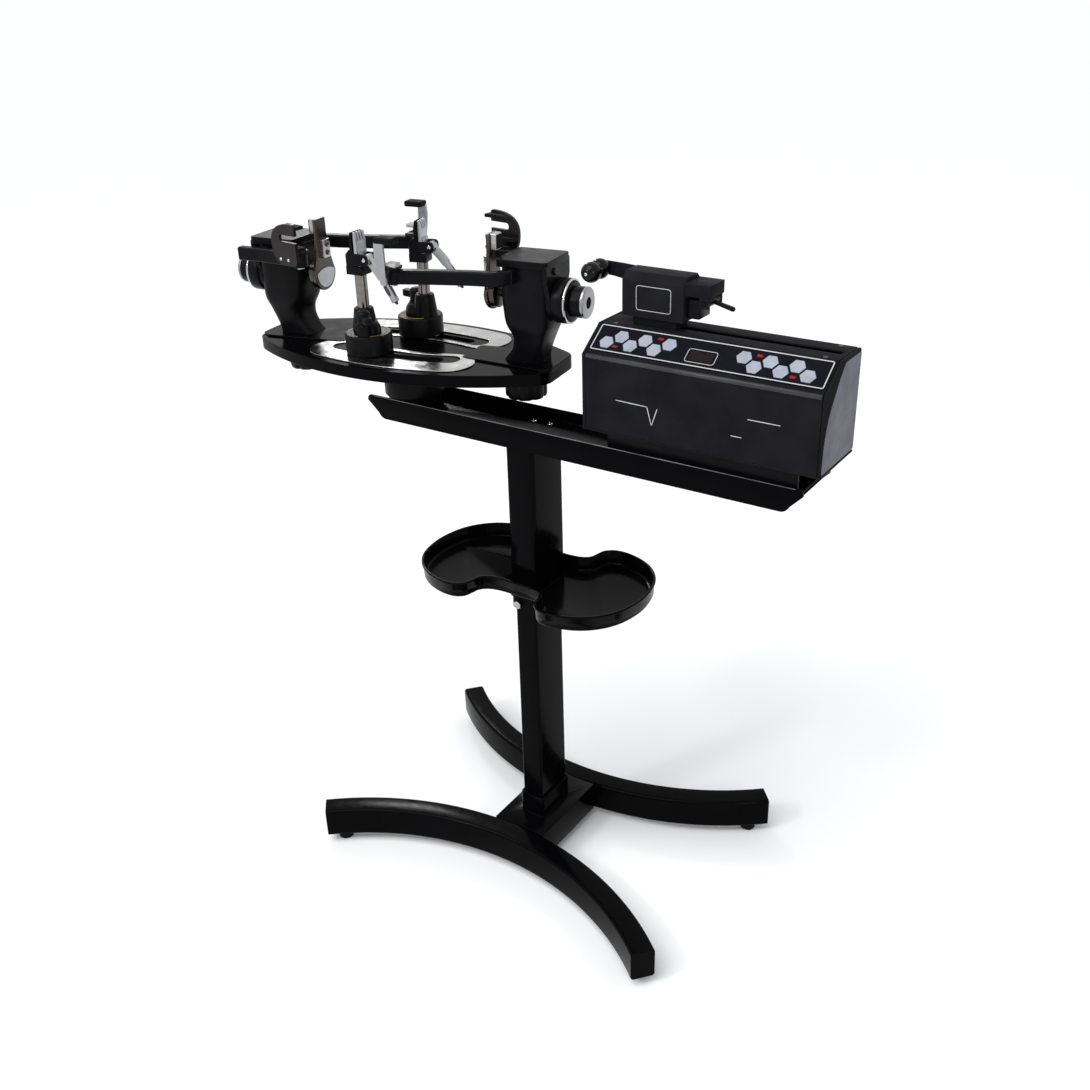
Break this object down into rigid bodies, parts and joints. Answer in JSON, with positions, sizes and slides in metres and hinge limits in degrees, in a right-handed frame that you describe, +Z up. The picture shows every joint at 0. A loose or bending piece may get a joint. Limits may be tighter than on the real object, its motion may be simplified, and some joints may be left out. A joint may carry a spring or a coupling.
{
  "type": "racket stringing machine",
  "caption": "Floor-standing racket stringing machine: turntable with frame claws and string clamps, and an electric tension unit on a beam.",
  "frame": {"origin": "middle of the bounding box's floor, on the floor under the machine", "axes": "+Z up, +X along the beam towards the tension unit, +Y towards the back"},
  "size_m": [0.9844, 0.4568, 1.038],
  "materials": {
    "gloss_black": "gloss black powder coat",
    "satin_black": "satin black powder coat on castings",
    "matt_black": "matt charcoal powder coat",
    "side_grey": "matt dark grey powder coat",
    "black_plastic": "satin moulded black plastic",
    "rubber": "black rubber",
    "polished_steel": "polished steel",
    "claw_steel": "brushed steel with black rubber facing",
    "cast_silver": "satin cast silver",
    "motor_steel": "dark motor can",
    "panel_film": "printed blue-black keypad film with pale keys",
    "display_glass": "dark red display window"
  },
  "bodies": {
    "stand": {"front_leg": "gloss_black", "rear_leg": "gloss_black", "front_left_foot_pad": "rubber", "front_right_foot_pad": "rubber", "rear_left_foot_pad": "rubber", "rear_right_foot_pad": "rubber", "cross_bar": "gloss_black", "lower_column": "gloss_black"},
    "upper_frame": {"column_sleeve": "gloss_black", "height_bolt": "polished_steel", "tool_tray": "satin_black", "beam": "gloss_black", "turntable_pedestal": "satin_black", "tension_plinth": "matt_black", "tension_housing": "matt_black", "tension_left_cover": "matt_black", "tension_right_cover": "side_grey", "control_panel": "panel_film", "tension_display": "display_glass", "power_inlet": "black_plastic", "drive_motor": "motor_steel"},
    "turntable": {"turntable_plate": "gloss_black", "near_track": "polished_steel", "far_track": "polished_steel"},
    "right_tower": {"right_tower": "satin_black"},
    "right_lock_knob": {"right_lock_knob": "black_plastic"},
    "right_arm_knob": {"right_arm_knob": "black_plastic"},
    "right_long_arm": {"right_long_arm": "satin_black", "right_long_claw": "claw_steel"},
    "right_short_arm": {"right_short_arm": "satin_black", "right_short_claw": "claw_steel"},
    "right_support_knob": {"right_support_knob": "black_plastic"},
    "right_head_support": {"right_head_support": "polished_steel"},
    "left_tower": {"left_tower": "satin_black"},
    "left_lock_knob": {"left_lock_knob": "black_plastic"},
    "left_arm_knob": {"left_arm_knob": "black_plastic"},
    "left_long_arm": {"left_long_arm": "satin_black", "left_long_claw": "claw_steel"},
    "left_short_arm": {"left_short_arm": "satin_black", "left_short_claw": "claw_steel"},
    "left_support_knob": {"left_support_knob": "black_plastic"},
    "left_head_support": {"left_head_support": "polished_steel"},
    "near_clamp_base": {"near_clamp_base": "satin_black"},
    "near_clamp_lock_lever": {"near_clamp_lock_lever": "black_plastic"},
    "near_clamp_post": {"near_clamp_post": "polished_steel"},
    "near_clamp_head": {"near_clamp_head": "satin_black"},
    "near_clamp_lever": {"near_clamp_lever": "cast_silver"},
    "near_clamp_jaw": {"near_clamp_jaw": "cast_silver"},
    "far_clamp_base": {"far_clamp_base": "satin_black"},
    "far_clamp_lock_lever": {"far_clamp_lock_lever": "black_plastic"},
    "far_clamp_post": {"far_clamp_post": "polished_steel"},
    "far_clamp_head": {"far_clamp_head": "satin_black"},
    "far_clamp_lever": {"far_clamp_lever": "cast_silver"},
    "far_clamp_jaw": {"far_clamp_jaw": "cast_silver"},
    "tension_carriage": {"tension_carriage": "satin_black"},
    "drive_screw": {"drive_screw": "polished_steel"},
    "string_roller": {"string_roller": "black_plastic"},
    "gripper_lever": {"gripper_lever": "black_plastic"},
    "gripper_jaw": {"gripper_jaw": "satin_black"},
    "power_switch": {"power_switch": "black_plastic"}
  },
  "joints": [
    {"name": "column_height", "type": "slide", "parent": "stand", "child": "upper_frame", "axis": [0, 0, 1], "range_m": [-0.08, 0.12]},
    {"name": "turntable_spin", "type": "hinge", "parent": "upper_frame", "child": "turntable", "pos_m": [-0.19476, 0, 0.812], "axis": [0, 0, 1], "continuous": true},
    {"name": "right_tower_slide", "type": "slide", "parent": "turntable", "child": "right_tower", "axis": [-0.9903, -0.1392, 0], "range_m": [-0.014, 0.016]},
    {"name": "right_lock_turn", "type": "hinge", "parent": "right_tower", "child": "right_lock_knob", "pos_m": [-0.00165, 0.02714, 0.8], "axis": [0, 0, 1], "continuous": true},
    {"name": "right_arm_knob_turn", "type": "hinge", "parent": "right_tower", "child": "right_arm_knob", "pos_m": [0.05776, 0.03549, 0.94], "axis": [0.9903, 0.1392, 0], "range_deg": [-241, 541]},
    {"name": "right_long_arm_slide", "type": "slide", "parent": "right_tower", "child": "right_long_arm", "axis": [0.1392, -0.9903, 0], "range_m": [-0.008, 0.018]},
    {"name": "right_short_arm_slide", "type": "slide", "parent": "right_tower", "child": "right_short_arm", "axis": [-0.1392, 0.9903, 0], "range_m": [-0.0081, 0.0181]},
    {"name": "right_support_knob_turn", "type": "hinge", "parent": "right_tower", "child": "right_support_knob", "pos_m": [0.08747, 0.03966, 0.94], "axis": [0.9903, 0.1392, 0], "range_deg": [-1085, 725]},
    {"name": "right_support_slide", "type": "slide", "parent": "right_tower", "child": "right_head_support", "axis": [0.9903, 0.1392, 0], "range_m": [-0.015, 0.01]},
    {"name": "left_tower_slide", "type": "slide", "parent": "turntable", "child": "left_tower", "axis": [0.9903, 0.1392, 0], "range_m": [-0.014, 0.016]},
    {"name": "left_lock_turn", "type": "hinge", "parent": "left_tower", "child": "left_lock_knob", "pos_m": [-0.38786, -0.02714, 0.8], "axis": [0, 0, 1], "continuous": true},
    {"name": "left_arm_knob_turn", "type": "hinge", "parent": "left_tower", "child": "left_arm_knob", "pos_m": [-0.44727, -0.03549, 0.94], "axis": [-0.9903, -0.1392, 0], "range_deg": [-241, 541]},
    {"name": "left_long_arm_slide", "type": "slide", "parent": "left_tower", "child": "left_long_arm", "axis": [-0.1392, 0.9903, 0], "range_m": [-0.008, 0.018]},
    {"name": "left_short_arm_slide", "type": "slide", "parent": "left_tower", "child": "left_short_arm", "axis": [0.1392, -0.9903, 0], "range_m": [-0.0081, 0.0181]},
    {"name": "left_support_knob_turn", "type": "hinge", "parent": "left_tower", "child": "left_support_knob", "pos_m": [-0.47698, -0.03966, 0.94], "axis": [-0.9903, -0.1392, 0], "range_deg": [-1085, 725]},
    {"name": "left_support_slide", "type": "slide", "parent": "left_tower", "child": "left_head_support", "axis": [-0.9903, -0.1392, 0], "range_m": [-0.015, 0.01]},
    {"name": "near_clamp_travel", "type": "hinge", "parent": "turntable", "child": "near_clamp_base", "pos_m": [-0.24027, 0.32382, 0.8481], "axis": [0, 0, 1], "range_deg": [-5.2, 16.9]},
    {"name": "near_clamp_lock", "type": "hinge", "parent": "near_clamp_base", "child": "near_clamp_lock_lever", "pos_m": [-0.2174, -0.07577, 0.8951], "axis": [0, 0, 1], "range_deg": [0, 60]},
    {"name": "near_clamp_lift", "type": "slide", "parent": "near_clamp_base", "child": "near_clamp_post", "axis": [0, 0, 1], "range_m": [-0.012, 0]},
    {"name": "near_clamp_swivel", "type": "hinge", "parent": "near_clamp_post", "child": "near_clamp_head", "pos_m": [-0.23696, -0.05215, 0.9621], "axis": [0, 0, 1], "continuous": true},
    {"name": "near_clamp_squeeze", "type": "hinge", "parent": "near_clamp_head", "child": "near_clamp_lever", "pos_m": [-0.22, -0.05096, 0.9854], "axis": [-0.0698, 0.9976, 0], "range_deg": [0, 22]},
    {"name": "near_clamp_jaw_slide", "type": "slide", "parent": "near_clamp_head", "child": "near_clamp_jaw", "axis": [-0.9976, -0.0698, 0], "range_m": [0, 0.0015]},
    {"name": "far_clamp_travel", "type": "hinge", "parent": "turntable", "child": "far_clamp_base", "pos_m": [-0.14925, -0.32382, 0.8481], "axis": [0, 0, 1], "range_deg": [-13.3, 8.8]},
    {"name": "far_clamp_lock", "type": "hinge", "parent": "far_clamp_base", "child": "far_clamp_lock_lever", "pos_m": [-0.23214, 0.06481, 0.8951], "axis": [0, 0, -1], "range_deg": [0, 60]},
    {"name": "far_clamp_lift", "type": "slide", "parent": "far_clamp_base", "child": "far_clamp_post", "axis": [0, 0, 1], "range_m": [-0.012, 0]},
    {"name": "far_clamp_swivel", "type": "hinge", "parent": "far_clamp_post", "child": "far_clamp_head", "pos_m": [-0.20445, 0.05162, 0.9621], "axis": [0, 0, 1], "continuous": true},
    {"name": "far_clamp_squeeze", "type": "hinge", "parent": "far_clamp_head", "child": "far_clamp_lever", "pos_m": [-0.18828, 0.05687, 0.9854], "axis": [-0.309, 0.9511, 0], "range_deg": [0, 22]},
    {"name": "far_clamp_jaw_slide", "type": "slide", "parent": "far_clamp_head", "child": "far_clamp_jaw", "axis": [-0.9511, -0.309, 0], "range_m": [0, 0.0015]},
    {"name": "tension_pull", "type": "slide", "parent": "upper_frame", "child": "tension_carriage", "axis": [1, 0, 0], "range_m": [0, 0.15]},
    {"name": "drive_screw_turn", "type": "hinge", "parent": "upper_frame", "child": "drive_screw", "pos_m": [0.32724, 0.022, 0.885], "axis": [1, 0, 0], "range_deg": [0, 1081]},
    {"name": "string_roller_spin", "type": "hinge", "parent": "tension_carriage", "child": "string_roller", "pos_m": [0.12624, 0.022, 0.994], "axis": [0, 1, 0], "continuous": true},
    {"name": "gripper_squeeze", "type": "hinge", "parent": "tension_carriage", "child": "gripper_lever", "pos_m": [0.29724, 0.022, 0.9743], "axis": [0, 1, 0], "range_deg": [0, 36]},
    {"name": "gripper_jaw_slide", "type": "slide", "parent": "tension_carriage", "child": "gripper_jaw", "axis": [0, 0, 1], "range_m": [0, 0.0042]},
    {"name": "power_switch_rock", "type": "hinge", "parent": "upper_frame", "child": "power_switch", "pos_m": [0.42324, 0.049, 0.826], "axis": [-1, 0, 0], "range_deg": [0, 16]}
  ],
  "couplings": [
    {"joint": "right_short_arm_slide", "follows": "right_long_arm_slide", "ratio": 1},
    {"joint": "right_arm_knob_turn", "follows": "right_long_arm_slide", "rad_per_m": 523.6},
    {"joint": "right_support_knob_turn", "follows": "right_support_slide", "rad_per_m": 1256.6},
    {"joint": "left_short_arm_slide", "follows": "left_long_arm_slide", "ratio": 1},
    {"joint": "left_arm_knob_turn", "follows": "left_long_arm_slide", "rad_per_m": 523.6},
    {"joint": "left_support_knob_turn", "follows": "left_support_slide", "rad_per_m": 1256.6},
    {"joint": "near_clamp_jaw_slide", "follows": "near_clamp_squeeze", "m_per_rad": 0.0039064},
    {"joint": "far_clamp_jaw_slide", "follows": "far_clamp_squeeze", "m_per_rad": 0.0039064},
    {"joint": "drive_screw_turn", "follows": "tension_pull", "rad_per_m": 125.66},
    {"joint": "gripper_squeeze", "follows": "gripper_jaw_slide", "rad_per_m": 145.44}
  ]
}
